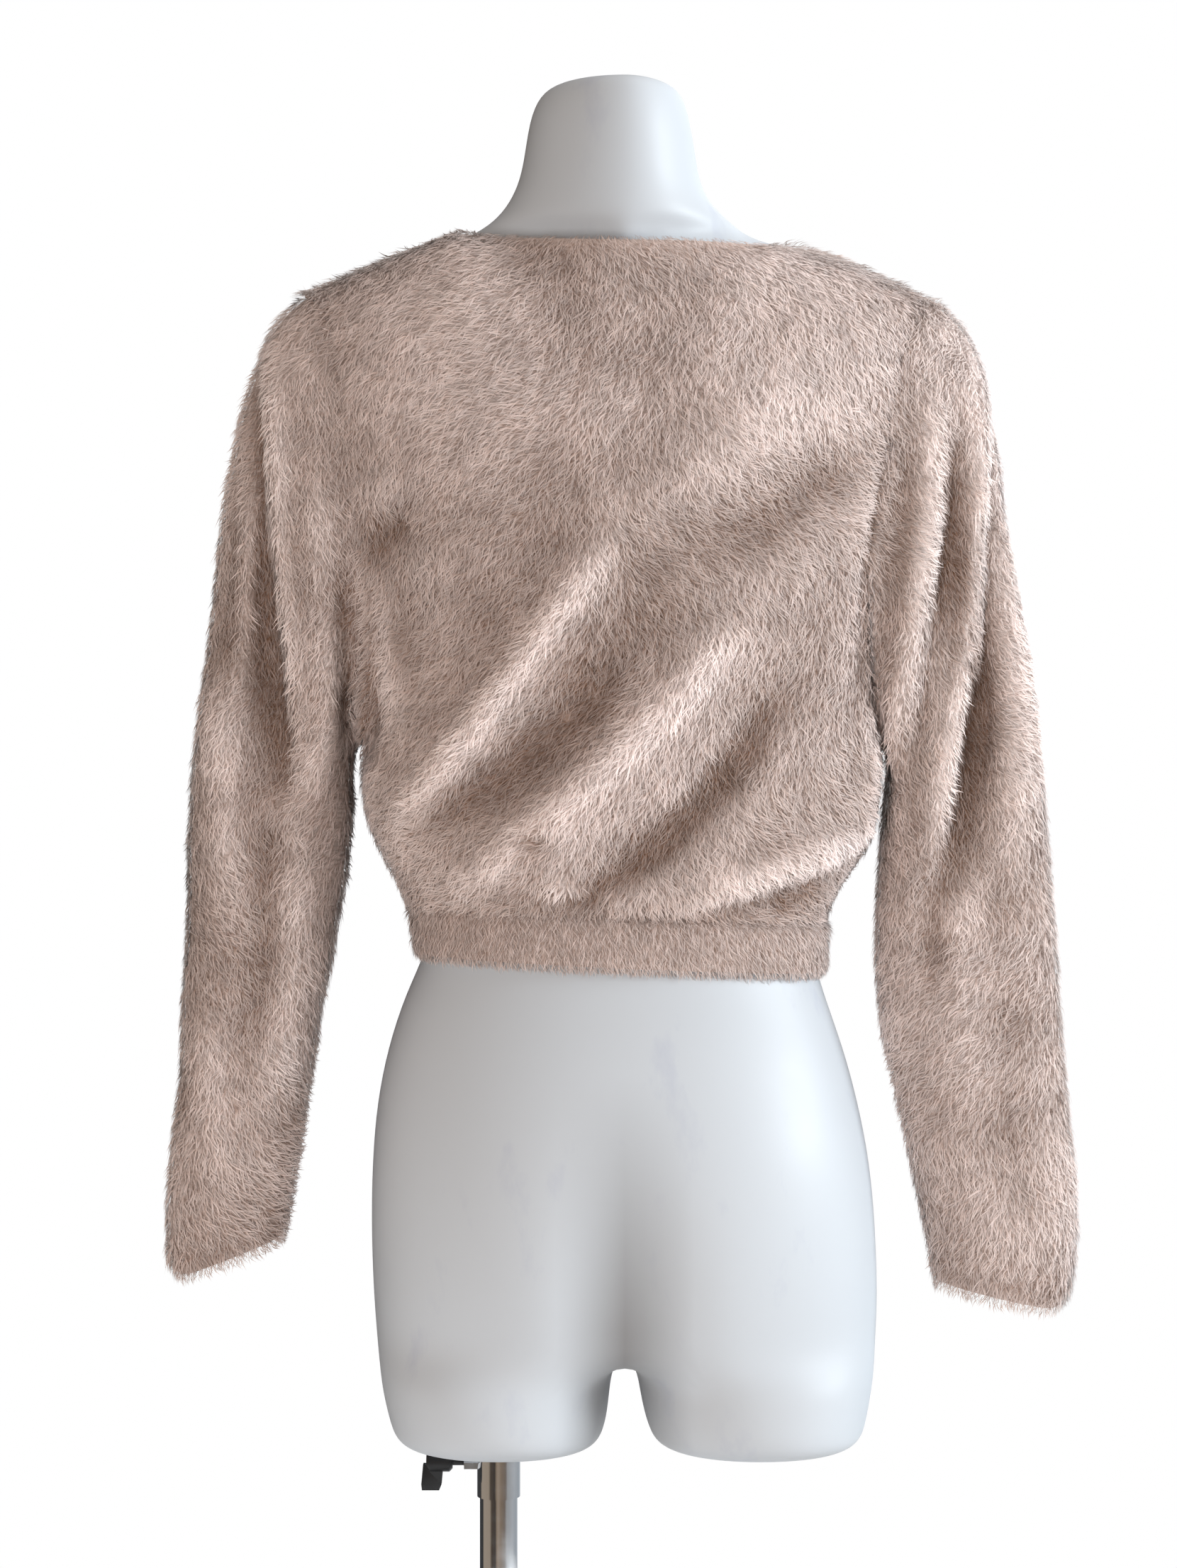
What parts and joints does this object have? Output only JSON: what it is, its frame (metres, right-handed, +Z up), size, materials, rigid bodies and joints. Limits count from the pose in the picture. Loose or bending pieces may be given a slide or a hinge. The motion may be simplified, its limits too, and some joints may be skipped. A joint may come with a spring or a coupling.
{
  "type": "cropped cardigan on a limbless dress form",
  "caption": "Cropped long-sleeved cardigan in a long soft pile with a ribbed hem, buttoned in front, worn by a white limbless dress form on a pole stand with a round base.",
  "frame": {"origin": "centre of the base plate's underside, on the floor, under the middle of the form", "axes": "+Z up; the front of the cardigan and the form faces -Y; the wearer's left is +X"},
  "size_m": [0.5955, 0.36, 1.2957],
  "materials": {
    "knit": "matte, long brushed pile",
    "rib": "matte, ribbed knit",
    "button": "satin",
    "form": "satin paint on a glass-fibre shell",
    "chrome": "polished",
    "base": "satin",
    "knob": "moulded, slightly glossy"
  },
  "bodies": {
    "dressed_form": {"back": "knit", "band_over": "rib", "band_under": "rib", "base_plate": "base", "button_1": "button", "button_2": "button", "button_3": "button", "button_4": "button", "button_5": "button", "dress_form": "form", "front_left": "knit", "front_right": "knit", "hem_rib_back": "rib", "hem_rib_left": "rib", "hem_rib_right": "rib", "pole": "chrome", "pole_collar": "chrome", "pole_flange": "chrome", "sleeve_left": "knit", "sleeve_right": "knit"},
    "knob": {"clamp_knob": "knob"}
  },
  "joints": [
    {"name": "clamp_knob_turn", "type": "hinge", "parent": "dressed_form", "child": "knob", "pos_m": [0.1035, 0, 0.4005], "axis": [1, 0, 0], "range_deg": [-75, 75]}
  ]
}
